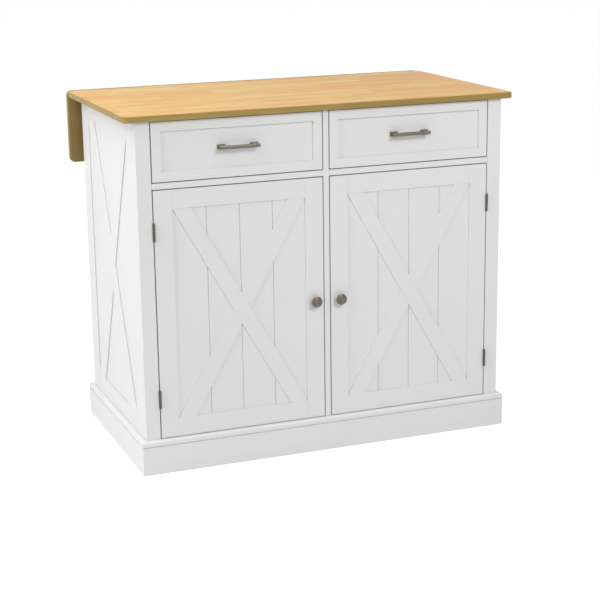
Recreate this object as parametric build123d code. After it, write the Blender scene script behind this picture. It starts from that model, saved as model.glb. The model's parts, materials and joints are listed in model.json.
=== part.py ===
from build123d import *
import math
import os

# Kitchen storage cabinet with two drawers, two doors and a drop leaf, in millimetres.
# X runs to the right, Y to the back and Z up. The origin is on the floor, at the middle
# of the closed cabinet's width and depth. "From the front" means measured back from the
# front faces of the stiles, doors and drawers, which all lie in one plane.

# Overall sizes, with the leaf hanging
overall_width = 1047.75
overall_depth = 596.9
overall_height = 908.05

# Worktop and leaf
worktop_thickness = 16.0
worktop_corner_radius = 14.0
worktop_edge_radius = 2.5
front_overhang = 12.0
side_overhang = 29.4
rear_overhang = 35.0
leaf_height = 195.5
leaf_gap = 1.0
handle_projection = 18.0

# Carcass boards
board_thickness = 15.0
side_panel_thickness = 12.0
back_panel_thickness = 6.0
carcass_lift = 2.0
front_stile_width = 38.0
front_stile_thickness = 18.0
rail_depth = 60.0
stretcher_depth = 60.0
reveal = 2.5

stretcher_setback = 4.0
worktop_screw_inset = 80.0
worktop_screw_share = 0.35
worktop_screw_depth = 9.0

# Raised frame and cross on the outside of each side panel
trim_thickness = 3.0
side_stile_width = 65.0
side_rail_width = 48.0
side_brace_width = 57.0

# Plinth
plinth_height = 88.0
plinth_thickness = 13.0
plinth_edge_radius = 6.0
plinth_groove_height = 73.5
plinth_groove_size = 2.2

# Doors
door_thickness = 18.0
door_frame_width = 48.0
door_panel_thickness = 8.0
door_panel_recess = 3.5
door_tongue = 7.0
door_board_count = 4
door_groove_width = 2.8
door_groove_depth = 2.4
door_brace_width = 40.0
door_brace_setback = 0.8
door_foot_gap = 1.5

# Drawers
drawer_front_height = 146.8
drawer_back_board = 12.0
drawer_frame_width = 23.5
drawer_frame_thickness = 6.0
drawer_side_thickness = 12.0
drawer_box_height = 100.0
drawer_box_depth = 400.0
drawer_box_lift = 14.0
drawer_bottom_thickness = 4.0
drawer_bottom_lift = 8.0
drawer_groove_depth = 5.0

# Telescopic runners, one each side of a drawer
runner_thickness = 12.7
runner_height = 45.0
runner_length = 350.0
runner_setback = 20.0
runner_sheet = 1.5
runner_play = 0.4
runner_web_gap = 0.5
runner_lift = 36.0

# Shelves
shelf_depth = 447.0
shelf_setback = 60.0
shelf_side_gap = 1.0
shelf_height = 400.0
shelf_pin_radius = 2.5
shelf_pin_depth = 9.0
shelf_pin_reach = 8.0
shelf_pin_inset = 60.0
shelf_hole_count = 3
shelf_hole_pitch = 64.0
shelf_seat_gap = 0.05

# Door hinges
hinge_height = 46.5
hinge_inset = 103.0
hinge_knuckle_radius = 3.0
hinge_pin_radius = 1.5
hinge_bore_play = 0.05
hinge_leaf_thickness = 1.1
hinge_leaf_depth = 17.0
hinge_cap_height = 1.2
hinge_cap_radius = 2.7
hinge_face_gap = 0.2
hinge_knuckle_count = 5
hinge_knuckle_gap = 0.3
hinge_screw_spacing = 28.0
hinge_screw_setback = 10.0
hinge_screw_radius = 1.4
hinge_screw_head_radius = 2.6
hinge_screw_length = 14.0

# Knobs
knob_height = 403.0
knob_radius = 14.5
knob_rim_thickness = 4.0
knob_neck_radius = 4.5
knob_foot_radius = 6.5
knob_foot_height = 2.0
knob_neck_start = 5.0
knob_flare_length = 5.0
knob_flare_width = 3.4
knob_face_bevel = 2.0
knob_dome = 0.8
knob_screw_radius = 2.0
knob_screw_head_radius = 4.2
knob_screw_head_height = 2.4
knob_thread_depth = 14.0

# Drawer pulls
pull_projection = 16.0
pull_length = 104.0
pull_bar_height = 9.5
pull_bar_thickness = 6.5
pull_foot_length = 21.0
pull_foot_height = 12.0
pull_foot_overhang = 1.2
pull_foot_plate = 2.5
pull_foot_step = 2.0
pull_foot_taper = 6.0
pull_bar_chamfer = 1.5
pull_lift = 2.0

# Magnetic catches
catch_length = 45.0
catch_height = 14.0
catch_depth = 14.0
catch_offset = 30.0
strike_thickness = 1.0
strike_gap = 0.3
strike_length = 30.0
strike_height = 12.0

# Leaf hinges
leaf_hinge_spacing = 350.0
leaf_hinge_count = 3
leaf_pin_radius = 2.5
leaf_pin_play = 0.05
leaf_eye_radius = 6.0
leaf_eye_clearance = 0.8
leaf_web_thickness = 3.0
leaf_cheek_thickness = 2.5
leaf_cheek_gap = 0.3
leaf_slot_side_gap = 0.7
leaf_plate_thickness = 2.5
leaf_plate_width = 60.0
leaf_plate_margin = 2.5
leaf_plate_front_gap = 0.5
leaf_plate_screw_inset = 8.0
leaf_web_depth = 17.0
leaf_web_throat = 8.0
leaf_web_step = 6.0
leaf_web_setback = 13.0
leaf_web_tail = 4.0
leaf_web_clearance = 0.8
leaf_arm_width = 34.0
leaf_arm_length = 120.0
leaf_arm_drop = 17.0
leaf_arm_rib = 8.0
leaf_arm_rib_start = 20.0
leaf_arm_rib_taper = 60.0
leaf_arm_screw_edge = 6.5
leaf_arm_screw_drop = 13.0
leaf_arm_screw_rows = 3
leaf_slot_depth = 15.5
leaf_slot_reach = 2.0
leaf_screw_radius = 2.0
leaf_screw_head_radius = 3.8
leaf_screw_head_height = 1.8
leaf_screw_length = 11.0

# Places worked out from the sizes above
front_y = -overall_depth / 2 + handle_projection
top_z = overall_height - worktop_thickness
worktop_depth = overall_depth - handle_projection - worktop_thickness - leaf_gap + front_overhang
worktop_front_y = front_y - front_overhang
worktop_rear_y = worktop_front_y + worktop_depth
carcass_rear_y = worktop_rear_y - rear_overhang
carcass_half = overall_width / 2 - side_overhang
panel_outer_x = carcass_half - trim_thickness
panel_inner_x = panel_outer_x - side_panel_thickness
stile_inner_x = carcass_half - front_stile_width
partition_half = board_thickness / 2
stile_rear_y = front_y + front_stile_thickness
back_front_y = carcass_rear_y - back_panel_thickness

drawer_top_z = top_z - reveal
drawer_bottom_z = drawer_top_z - drawer_front_height
rail_top_z = drawer_bottom_z - reveal
rail_bottom_z = rail_top_z - board_thickness
door_top_z = rail_bottom_z - reveal
door_bottom_z = plinth_height + door_foot_gap
opening_inner_x = partition_half + reveal
opening_outer_x = stile_inner_x - reveal
door_rear_y = front_y + door_thickness

runner_z = drawer_bottom_z + drawer_box_lift + runner_lift
runner_front_y = front_y + runner_setback
runner_rear_y = runner_front_y + runner_length
drawer_box_bottom_z = drawer_bottom_z + drawer_box_lift
drawer_box_top_z = drawer_box_bottom_z + drawer_box_height
drawer_box_inner_x = partition_half + runner_thickness
drawer_box_outer_x = stile_inner_x - runner_thickness
drawer_panel_y = front_y + drawer_frame_thickness
drawer_box_front_y = drawer_panel_y + drawer_back_board
drawer_box_rear_y = drawer_box_front_y + drawer_box_depth

hinge_axis_x = stile_inner_x - reveal / 2
hinge_axis_y = front_y - hinge_knuckle_radius - hinge_face_gap
hinge_centres_z = [door_bottom_z + hinge_inset, door_top_z - hinge_inset]

leaf_axis_y = worktop_rear_y + leaf_gap + worktop_thickness / 2
leaf_axis_z = overall_height - worktop_thickness / 2
leaf_inner_y = worktop_rear_y + leaf_gap
leaf_outer_y = leaf_inner_y + worktop_thickness
leaf_hinge_places = [
    (index - (leaf_hinge_count - 1) / 2) * leaf_hinge_spacing for index in range(leaf_hinge_count)
]

pull_z = (drawer_bottom_z + drawer_top_z) / 2 + pull_lift
pull_x = (opening_inner_x + opening_outer_x) / 2
knob_x = opening_inner_x + door_frame_width / 2


# Plain shapes

def block(x0, x1, y0, y1, z0, z1):
    size = Box(x1 - x0, y1 - y0, z1 - z0)
    return Pos((x0 + x1) / 2, (y0 + y1) / 2, (z0 + z1) / 2) * size


def rod(x, y, z, radius, length, axis="z"):
    """A round bar that starts at the point and runs the given length along an axis."""
    turn = {"x": Rot(0, 90, 0), "y": Rot(-90, 0, 0), "z": Rot(0, 0, 0)}[axis]
    bar = Cylinder(radius, abs(length), align=(Align.CENTER, Align.CENTER, Align.MIN))
    if length < 0:
        bar = Rot(180, 0, 0) * bar
    return Pos(x, y, z) * turn * bar


def cone_head(x, y, z, wide, narrow, depth, axis="x"):
    """A countersunk head, wide at the point and narrow after the given depth along the axis."""
    turn = {"x": Rot(0, 90, 0), "y": Rot(-90, 0, 0)}[axis]
    head = Cone(wide, narrow, abs(depth), align=(Align.CENTER, Align.CENTER, Align.MIN))
    if depth < 0:
        head = Rot(180, 0, 0) * head
    return Pos(x, y, z) * turn * head


def prism_yz(points, x0, x1):
    """A plate whose outline lies in the YZ plane, from x0 to x1."""
    outline = make_face(Polyline([(x0, y, z) for y, z in points], close=True))
    return extrude(outline, amount=x1 - x0, dir=(1, 0, 0))


def prism_xz(points, y0, y1):
    """A plate whose outline lies in the XZ plane, from y0 to y1."""
    outline = make_face(Polyline([(x, y0, z) for x, z in points], close=True))
    return extrude(outline, amount=y1 - y0, dir=(0, 1, 0))


def group(solids):
    flat = []
    for solid in solids:
        flat.extend(solid.solids())
    return flat[0] if len(flat) == 1 else Compound(children=flat)


def flip(shape):
    """The same piece on the other side of the cabinet."""
    return mirror(shape, about=Plane.YZ)


def both_sides(shape):
    return group([shape, flip(shape)])


def brace_foot(inner_width, inner_height, width):
    """How wide a diagonal of the given width is where it is cut level by a rail."""
    square = width * width
    reach = inner_width**2 * square**2
    reach = reach + (inner_height**2 - square) * square * (inner_width**2 + inner_height**2)
    return (math.sqrt(reach) - inner_width * square) / (inner_height**2 - square)


def cross_outline(low_a, high_a, low_z, high_z, width):
    """Outlines of a cross: one whole diagonal that falls, and the two halves of the rising one."""
    foot = brace_foot(high_a - low_a, high_z - low_z, width)
    whole = [(low_a, high_z), (low_a + foot, high_z), (high_a, low_z), (high_a - foot, low_z)]
    middle_a = (low_a + high_a) / 2
    middle_z = (low_z + high_z) / 2
    steep = (high_z - low_z) / (high_a - low_a - foot)
    # The two diagonals share a rhombus at the middle of the cross.
    side_a = foot / 2
    side_z = steep * foot / 2
    upper = [(middle_a, middle_z + side_z), (middle_a + side_a, middle_z), (high_a, high_z),
             (high_a - foot, high_z)]
    lower = [(middle_a - side_a, middle_z), (middle_a, middle_z - side_z), (low_a + foot, low_z),
             (low_a, low_z)]
    return whole, upper, lower


# Worktop and carcass

def make_worktop():
    board = block(-overall_width / 2, overall_width / 2, worktop_front_y, worktop_rear_y,
                  top_z, overall_height)
    board = fillet(board.edges().filter_by(Axis.Z), worktop_corner_radius)
    rims = board.faces().sort_by(Axis.Z)
    board = fillet(rims[-1].edges() + rims[0].edges(), worktop_edge_radius)
    for x, y in worktop_screw_places() + leaf_plate_screw_places():
        board -= rod(x, y, top_z, leaf_screw_radius, worktop_screw_depth)
    return board


def worktop_screw_places():
    front = stretcher_front_y() + stretcher_depth / 2
    rear = back_front_y - stretcher_depth / 2
    spread = panel_inner_x - worktop_screw_inset
    places = [side * spread * share for side in (-1, 1) for share in (1, worktop_screw_share)]
    return [(x, y) for y in (front, rear) for x in places]


def stretcher_front_y():
    return stile_rear_y + stretcher_setback


def make_front_stile():
    stile = block(stile_inner_x, carcass_half, front_y, stile_rear_y, carcass_lift, top_z)
    for z in hinge_screw_heights():
        stile -= rod(stile_inner_x, hinge_screw_y(), z, hinge_screw_radius, hinge_screw_length, "x")
    return stile


def make_side_panel():
    panel = block(panel_inner_x, panel_outer_x, stile_rear_y, carcass_rear_y, carcass_lift, top_z)
    for y, z in shelf_hole_places():
        panel -= rod(panel_inner_x, y, z, shelf_pin_radius, shelf_pin_depth, "x")
    return panel


def make_side_trim():
    """Stiles, rails and a cross planted on the outside of the side panel."""
    front = stile_rear_y + side_stile_width
    rear = carcass_rear_y - side_stile_width
    low = plinth_height + side_rail_width
    high = top_z - side_rail_width
    x0, x1 = panel_outer_x, carcass_half
    pieces = [
        block(x0, x1, stile_rear_y, front, carcass_lift, top_z),
        block(x0, x1, rear, carcass_rear_y, carcass_lift, top_z),
        block(x0, x1, front, rear, carcass_lift, low),
        block(x0, x1, front, rear, high, top_z),
    ]
    for outline in cross_outline(front, rear, low, high, side_brace_width):
        turned = [(front + rear - a, z) for a, z in outline]
        pieces.append(prism_yz(turned, x0, x1))
    return group(pieces)


def make_centre_partition():
    board = block(-partition_half, partition_half, front_y, back_front_y, plinth_height, top_z)
    low = top_z - board_thickness
    board -= block(-partition_half, partition_half, stretcher_front_y(),
                   stretcher_front_y() + stretcher_depth, low, top_z)
    board -= block(-partition_half, partition_half, back_front_y - stretcher_depth, back_front_y,
                   low, top_z)
    for y, z in shelf_hole_places():
        board -= rod(-partition_half, y, z, shelf_pin_radius, board_thickness, "x")
    return board


def make_mid_rails():
    """The rail between drawer and door on each side, notched round the front stile."""
    rail = block(partition_half, stile_inner_x, front_y, stile_rear_y, rail_bottom_z, rail_top_z)
    rail += block(partition_half, panel_inner_x, stile_rear_y, front_y + rail_depth,
                  rail_bottom_z, rail_top_z)
    return both_sides(rail)


def make_top_stretchers():
    low = top_z - board_thickness
    front = block(-panel_inner_x, panel_inner_x, stretcher_front_y(),
                  stretcher_front_y() + stretcher_depth, low, top_z)
    rear = block(-panel_inner_x, panel_inner_x, back_front_y - stretcher_depth, back_front_y,
                 low, top_z)
    both = []
    for board in (front, rear):
        for x, y in worktop_screw_places():
            board -= rod(x, y, low, leaf_screw_radius, board_thickness)
        both.append(board)
    return group(both)


def make_bottom_panel():
    low = plinth_height - board_thickness
    board = block(-panel_inner_x, panel_inner_x, stile_rear_y, back_front_y, low, plinth_height)
    return board + block(-stile_inner_x, stile_inner_x, front_y, stile_rear_y, low, plinth_height)


def make_back_panel():
    return block(-panel_inner_x, panel_inner_x, back_front_y, carcass_rear_y, carcass_lift, top_z)


def make_runner_packers():
    """Strips that bring the outer runners in line with the front stiles."""
    strip = block(stile_inner_x, panel_inner_x, runner_front_y, runner_rear_y,
                  runner_z - runner_height / 2, runner_z + runner_height / 2)
    return both_sides(strip)


# Shelves

def shelf_hole_places():
    """Row of holes at the front and at the rear, as distances back and heights."""
    front = front_y + shelf_setback + shelf_pin_inset
    rear = front_y + shelf_setback + shelf_depth - shelf_pin_inset
    steps = [(index - (shelf_hole_count - 1) / 2) * shelf_hole_pitch for index in range(shelf_hole_count)]
    return [(y, shelf_height + step) for y in (front, rear) for step in steps]


def shelf_pin_places():
    return [(y, z) for y, z in shelf_hole_places() if abs(z - shelf_height) < shelf_hole_pitch / 2]


def make_shelf():
    low = shelf_height + shelf_pin_radius + shelf_seat_gap
    return block(partition_half + shelf_side_gap, panel_inner_x - shelf_side_gap,
                 front_y + shelf_setback, front_y + shelf_setback + shelf_depth, low, low + board_thickness)


def make_shelf_pins():
    pins = []
    for y, z in shelf_pin_places():
        outer = rod(panel_inner_x + shelf_pin_depth, y, z, shelf_pin_radius,
                    -(shelf_pin_depth + shelf_pin_reach), "x")
        through = rod(-partition_half - shelf_pin_reach, y, z, shelf_pin_radius,
                      board_thickness + 2 * shelf_pin_reach, "x")
        pins.extend([outer, flip(outer), through])
    return group(pins)


# Plinth

def make_plinth_end(outer_y, inward):
    """The front or rear board, grooved along its face and round both of its ends."""
    half = carcass_half + plinth_thickness
    inner_y = outer_y + inward * plinth_thickness
    board = block(-half, half, min(outer_y, inner_y), max(outer_y, inner_y), 0, plinth_height)
    top = board.faces().sort_by(Axis.Z)[-1]
    inner_edge = top.edges().sort_by(Axis.Y)[-1 if inward > 0 else 0]
    rims = [edge for edge in top.edges() if edge.center() != inner_edge.center()]
    board = fillet(rims, plinth_edge_radius)
    size = plinth_groove_size
    low, high = plinth_groove_height - size / 2, plinth_groove_height + size / 2
    shallow_y = outer_y + inward * size
    board -= block(-half, half, min(outer_y, shallow_y), max(outer_y, shallow_y), low, high)
    for x0 in (-half, half - size):
        board -= block(x0, x0 + size, min(outer_y, inner_y), max(outer_y, inner_y), low, high)
    return board


def make_plinth_side():
    outer = carcass_half + plinth_thickness
    board = block(carcass_half, outer, front_y, carcass_rear_y, 0, plinth_height)
    rim = board.edges().filter_by(Axis.Y).sort_by(Axis.X)[-2:].sort_by(Axis.Z)[-1]
    board = fillet(rim, plinth_edge_radius)
    size = plinth_groove_size
    return board - block(outer - size, outer, front_y, carcass_rear_y,
                         plinth_groove_height - size / 2, plinth_groove_height + size / 2)


# Door hinges

def hinge_screw_y():
    return front_y + hinge_screw_setback


def hinge_screw_heights():
    return [z + side * hinge_screw_spacing / 2 for z in hinge_centres_z for side in (-1, 1)]


def knuckle_spans(centre_z):
    """Bottom and top of each knuckle of one hinge, counted from below."""
    length = hinge_height - 2 * hinge_cap_height
    each = (length - (hinge_knuckle_count - 1) * hinge_knuckle_gap) / hinge_knuckle_count
    start = centre_z - length / 2
    return [(start + index * (each + hinge_knuckle_gap), start + index * (each + hinge_knuckle_gap) + each)
            for index in range(hinge_knuckle_count)]


def hinge_leaf(centre_z, on_door):
    """One leaf of a right-hand butt hinge, with its knuckles round the pin."""
    half = reveal / 2
    if on_door:
        x0, x1 = hinge_axis_x - half, hinge_axis_x - half + hinge_leaf_thickness
        bore = hinge_pin_radius + hinge_bore_play
    else:
        x0, x1 = hinge_axis_x + half - hinge_leaf_thickness, hinge_axis_x + half
        bore = hinge_pin_radius
    spans = knuckle_spans(centre_z)
    leaf = block(x0, x1, front_y, front_y + hinge_leaf_depth, spans[0][0], spans[-1][1])
    for low, high in spans[1::2] if on_door else spans[0::2]:
        leaf += block(x0, x1, hinge_axis_y + (hinge_pin_radius + hinge_knuckle_radius) / 2, front_y,
                      low, high)
        leaf += rod(hinge_axis_x, hinge_axis_y, low, hinge_knuckle_radius, high - low)
    leaf -= rod(hinge_axis_x, hinge_axis_y, spans[0][0] - 1, bore, hinge_height + 2)
    for z in (centre_z - hinge_screw_spacing / 2, centre_z + hinge_screw_spacing / 2):
        leaf -= screw_in_leaf(z, on_door)
    return leaf


def screw_in_leaf(z, on_door):
    """A countersunk screw through a hinge leaf, flush with the leaf's open face."""
    half = reveal / 2
    if on_door:
        start, sign = hinge_axis_x - half + hinge_leaf_thickness, -1
    else:
        start, sign = hinge_axis_x + half - hinge_leaf_thickness, 1
    head = cone_head(start, hinge_screw_y(), z, hinge_screw_head_radius, hinge_screw_radius,
                     sign * hinge_leaf_thickness)
    return head + rod(start, hinge_screw_y(), z, hinge_screw_radius,
                      sign * (hinge_leaf_thickness + hinge_screw_length), "x")


def make_hinge_plates():
    plates = [hinge_leaf(z, False) for z in hinge_centres_z]
    return both_sides(group(plates))


def make_hinge_pins():
    pins = []
    for z in hinge_centres_z:
        length = hinge_height - 2 * hinge_cap_height
        pin = rod(hinge_axis_x, hinge_axis_y, z - length / 2, hinge_pin_radius, length)
        pin += rod(hinge_axis_x, hinge_axis_y, z - hinge_height / 2, hinge_cap_radius, hinge_cap_height)
        pin += rod(hinge_axis_x, hinge_axis_y, z + length / 2, hinge_cap_radius, hinge_cap_height)
        pins.extend([pin, flip(pin)])
    return group(pins)


# Doors. side is 1 for the right door, hung on the right, and -1 for the left one.

def door_span(side):
    edges = sorted([side * opening_inner_x, side * opening_outer_x])
    return edges[0], edges[1]


def door_panel_depths():
    front = front_y + door_panel_recess
    return front, front + door_panel_thickness


def make_door_stiles(side):
    x0, x1 = door_span(side)
    front, rear = door_panel_depths()
    pieces = []
    for low, high in ((x0, x0 + door_frame_width), (x1 - door_frame_width, x1)):
        stile = block(low, high, front_y, door_rear_y, door_bottom_z, door_top_z)
        groove_x = high if low == x0 else low
        stile -= block(groove_x - door_tongue, groove_x + door_tongue, front, rear,
                       door_bottom_z + door_frame_width - door_tongue,
                       door_top_z - door_frame_width + door_tongue)
        if abs(side * opening_outer_x - low) < 1 or abs(side * opening_outer_x - high) < 1:
            for z in hinge_screw_heights():
                stile -= rod(side * opening_outer_x, hinge_screw_y(), z, hinge_screw_radius,
                             -side * hinge_screw_length, "x")
        else:
            stile -= rod(side * knob_x, front_y, knob_height, knob_screw_radius, door_thickness, "y")
        pieces.append(stile)
    return group(pieces)


def make_door_rails(side):
    x0, x1 = door_span(side)
    front, rear = door_panel_depths()
    low_x, high_x = x0 + door_frame_width, x1 - door_frame_width
    top = block(low_x, high_x, front_y, door_rear_y, door_top_z - door_frame_width, door_top_z)
    top -= block(low_x, high_x, front, rear, door_top_z - door_frame_width,
                 door_top_z - door_frame_width + door_tongue)
    bottom = block(low_x, high_x, front_y, door_rear_y, door_bottom_z, door_bottom_z + door_frame_width)
    bottom -= block(low_x, high_x, front, rear, door_bottom_z + door_frame_width - door_tongue,
                    door_bottom_z + door_frame_width)
    return group([top, bottom])


def make_door_panel(side):
    """The boarded panel, with a V groove between each two boards."""
    x0, x1 = door_span(side)
    front, rear = door_panel_depths()
    low_x, high_x = x0 + door_frame_width, x1 - door_frame_width
    low_z, high_z = door_bottom_z + door_frame_width, door_top_z - door_frame_width
    panel = block(low_x - door_tongue, high_x + door_tongue, front, rear,
                  low_z - door_tongue, high_z + door_tongue)
    half = door_groove_width / 2
    for index in range(1, door_board_count):
        x = low_x + (high_x - low_x) * index / door_board_count
        notch = Polyline([(x - half, front, low_z), (x + half, front, low_z),
                          (x, front + door_groove_depth, low_z)], close=True)
        panel -= extrude(make_face(notch), amount=high_z - low_z, dir=(0, 0, 1))
    return panel


def make_door_cross(side):
    """One whole diagonal from upper left to lower right, and the other in two halves."""
    x0, x1 = door_span(side)
    front = front_y + door_brace_setback
    outlines = cross_outline(x0 + door_frame_width, x1 - door_frame_width,
                             door_bottom_z + door_frame_width, door_top_z - door_frame_width,
                             door_brace_width)
    return group([prism_xz(outline, front, front_y + door_panel_recess) for outline in outlines])


def make_knob(side):
    """A turned knob: a foot, a narrow neck and a flared head with a slightly domed face."""
    face_y = -handle_projection
    rim_y = face_y + knob_rim_thickness
    foot = (knob_foot_radius, -knob_foot_height)
    waist = (knob_neck_radius, -knob_neck_start)
    waist_bend = (knob_neck_radius + (knob_foot_radius - knob_neck_radius) * 0.4,
                  -knob_foot_height - (knob_neck_start - knob_foot_height) * 0.4)
    flare = (knob_neck_radius, rim_y + knob_flare_length)
    flare_bend = (knob_neck_radius + knob_flare_width, rim_y + knob_flare_length / 3)
    rim_back = (knob_radius, rim_y)
    rim_front = (knob_radius, face_y + knob_face_bevel)
    face = (knob_radius - knob_face_bevel, face_y + knob_dome)
    outline = Polyline((0, 0), (knob_foot_radius, 0), foot)
    outline += ThreePointArc(foot, waist_bend, waist)
    outline += Line(waist, flare)
    outline += ThreePointArc(flare, flare_bend, rim_back)
    outline += Polyline(rim_back, rim_front, face, (0, face_y), (0, 0))
    knob = revolve(make_face(outline), axis=Axis.Y)
    knob = Pos(side * knob_x, front_y, knob_height) * knob
    return knob - rod(side * knob_x, front_y, knob_height, knob_screw_radius, -knob_thread_depth, "y")


def make_door_leaves(side):
    leaves = [hinge_leaf(z, True) for z in hinge_centres_z]
    return group(leaves if side > 0 else [flip(leaf) for leaf in leaves])


def make_door_fixings(side):
    """Hinge screws, the knob's screw and the strike of the magnetic catch."""
    pieces = [screw_in_leaf(z, True) for z in hinge_screw_heights()]
    low_x = partition_half + catch_offset + (catch_length - strike_length) / 2
    strike = block(low_x, low_x + strike_length, door_rear_y, door_rear_y + strike_thickness,
                   door_top_z - 2 - strike_height, door_top_z - 2)
    screw = rod(knob_x, front_y - knob_thread_depth, knob_height, knob_screw_radius,
                knob_thread_depth + door_thickness, "y")
    screw += rod(knob_x, door_rear_y, knob_height, knob_screw_head_radius, knob_screw_head_height, "y")
    pieces.extend([strike, screw])
    return group(pieces if side > 0 else [flip(piece) for piece in pieces])


def make_door_catches():
    low_x = partition_half + catch_offset
    rear = door_rear_y + strike_thickness + strike_gap
    catch = block(low_x, low_x + catch_length, rear, rear + catch_depth,
                  rail_bottom_z - catch_height, rail_bottom_z)
    return both_sides(catch)


# Drawers, made on the right and flipped for the left

def make_drawer_front_panel():
    panel = block(opening_inner_x, opening_outer_x, drawer_panel_y, drawer_box_front_y,
                  drawer_bottom_z, drawer_top_z)
    for x in pull_screw_places():
        panel -= rod(x, front_y, pull_z, knob_screw_radius, 2 * door_thickness, "y")
    return panel


def make_drawer_front_frame():
    x0, x1 = opening_inner_x, opening_outer_x
    z0, z1 = drawer_bottom_z, drawer_top_z
    y0, y1 = front_y, drawer_panel_y
    wide = drawer_frame_width
    return group([
        block(x0, x0 + wide, y0, y1, z0, z1),
        block(x1 - wide, x1, y0, y1, z0, z1),
        block(x0 + wide, x1 - wide, y0, y1, z0, z0 + wide),
        block(x0 + wide, x1 - wide, y0, y1, z1 - wide, z1),
    ])


def drawer_bottom_heights():
    low = drawer_box_bottom_z + drawer_bottom_lift
    return low, low + drawer_bottom_thickness


def make_drawer_sides():
    low, high = drawer_bottom_heights()
    pieces = []
    for x0, inward in ((drawer_box_inner_x, 1), (drawer_box_outer_x - drawer_side_thickness, -1)):
        board = block(x0, x0 + drawer_side_thickness, drawer_box_front_y, drawer_box_rear_y,
                      drawer_box_bottom_z, drawer_box_top_z)
        face = x0 + drawer_side_thickness if inward > 0 else x0
        board -= block(face - drawer_groove_depth, face + drawer_groove_depth,
                       drawer_box_front_y, drawer_box_rear_y, low, high)
        pieces.append(board)
    return group(pieces)


def make_drawer_back():
    low, high = drawer_bottom_heights()
    x0 = drawer_box_inner_x + drawer_side_thickness
    x1 = drawer_box_outer_x - drawer_side_thickness
    board = block(x0, x1, drawer_box_rear_y - drawer_side_thickness, drawer_box_rear_y,
                  drawer_box_bottom_z, drawer_box_top_z)
    front = drawer_box_rear_y - drawer_side_thickness
    return board - block(x0, x1, front, front + drawer_groove_depth, low, high)


def make_drawer_bottom():
    low, high = drawer_bottom_heights()
    x0 = drawer_box_inner_x + drawer_side_thickness - drawer_groove_depth
    x1 = drawer_box_outer_x - drawer_side_thickness + drawer_groove_depth
    rear = drawer_box_rear_y - drawer_side_thickness + drawer_groove_depth
    inset_x0 = drawer_box_inner_x + drawer_side_thickness
    inset_x1 = drawer_box_outer_x - drawer_side_thickness
    back_front = drawer_box_rear_y - drawer_side_thickness
    sheet = block(x0, x1, drawer_box_front_y, back_front, low, high)
    return sheet + block(inset_x0, inset_x1, back_front, rear, low, high)


def pull_screw_places():
    reach = pull_length / 2 + pull_foot_overhang - pull_foot_length / 2
    return [pull_x - reach, pull_x + reach]


def make_pull():
    """A squared bar on two stepped, flared feet."""
    bar_front = front_y - pull_projection
    bar_rear = bar_front + pull_bar_thickness
    face_y = drawer_panel_y
    bar = block(pull_x - pull_length / 2, pull_x + pull_length / 2, bar_front, bar_rear,
                pull_z - pull_bar_height / 2, pull_z + pull_bar_height / 2)
    bar = chamfer(bar.edges().filter_by(Axis.X), pull_bar_chamfer)
    shape = bar
    for x in pull_screw_places():
        half_x, half_z = pull_foot_length / 2, pull_foot_height / 2
        shape += block(x - half_x, x + half_x, face_y - pull_foot_plate, face_y,
                       pull_z - half_z, pull_z + half_z)
        base = Plane(origin=(x, face_y - pull_foot_plate, pull_z), x_dir=(1, 0, 0), z_dir=(0, -1, 0))
        length = face_y - pull_foot_plate - bar_rear
        wide = base * Rectangle(pull_foot_length - pull_foot_step, pull_foot_height - pull_foot_step)
        slim = base.offset(length) * Rectangle(pull_foot_length - pull_foot_step - pull_foot_taper,
                                               pull_bar_height - 2 * pull_bar_chamfer)
        shape += loft([wide, slim])
        shape -= rod(x, face_y, pull_z, knob_screw_radius, -knob_thread_depth, "y")
    return shape


def make_pull_screws():
    screws = []
    face_y = drawer_panel_y
    for x in pull_screw_places():
        screw = rod(x, face_y - knob_thread_depth, pull_z, knob_screw_radius,
                    knob_thread_depth + drawer_back_board, "y")
        screw += rod(x, drawer_box_front_y, pull_z, knob_screw_head_radius, knob_screw_head_height, "y")
        screws.append(screw)
    return group(screws)


# Runners: three nested channels on each side of a drawer

def runner_channel(wall_x, inward, web, tip, height):
    """A channel along Y whose web and flange tips are measured out from the wall that carries it."""
    def slab(near, far, low, high):
        xs = sorted([wall_x + inward * near, wall_x + inward * far])
        return block(xs[0], xs[1], runner_front_y, runner_rear_y, runner_z + low, runner_z + high)
    half = height / 2
    near, far = sorted([web, tip])
    shape = slab(web, web + runner_sheet, -half, half)
    shape += slab(near, far, half - runner_sheet, half)
    shape += slab(near, far, -half, -half + runner_sheet)
    return shape


def runner_sides():
    """The wall that carries each runner and the way from it towards the drawer."""
    return [(partition_half, 1), (stile_inner_x, -1)]


def make_fixed_runners():
    tip = runner_thickness - runner_sheet - 2 * runner_play
    pieces = [runner_channel(wall, way, 0, tip, runner_height) for wall, way in runner_sides()]
    return group(pieces)


def middle_runner_height():
    return runner_height - 2 * runner_sheet - 2 * runner_play


def make_middle_runners():
    web = runner_sheet + runner_web_gap
    tip = runner_thickness - runner_sheet - runner_play / 2
    pieces = [runner_channel(wall, way, web, tip, middle_runner_height()) for wall, way in runner_sides()]
    return group(pieces)


def make_drawer_runners():
    height = middle_runner_height() - 2 * runner_sheet - 2 * runner_play
    web = runner_thickness - runner_sheet
    tip = 2 * runner_sheet + 2 * runner_web_gap
    pieces = [runner_channel(wall, way, web, tip, height) for wall, way in runner_sides()]
    return group(pieces)


# Leaf and its hinges

def leaf_bottom_z():
    return overall_height - leaf_height


def slot_half_width():
    return leaf_web_thickness / 2 + leaf_cheek_gap + leaf_cheek_thickness + leaf_slot_side_gap


def arm_screw_places():
    """Screw places along the leaf hinge's arm, as sideways shift and height."""
    spread = leaf_arm_width / 2 - leaf_arm_screw_edge
    high = leaf_axis_z - leaf_arm_drop - leaf_arm_screw_drop
    step = (leaf_arm_length - 2 * leaf_arm_screw_drop) / (leaf_arm_screw_rows - 1)
    return [(side * spread, high - row * step) for row in range(leaf_arm_screw_rows) for side in (-1, 1)]


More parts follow.
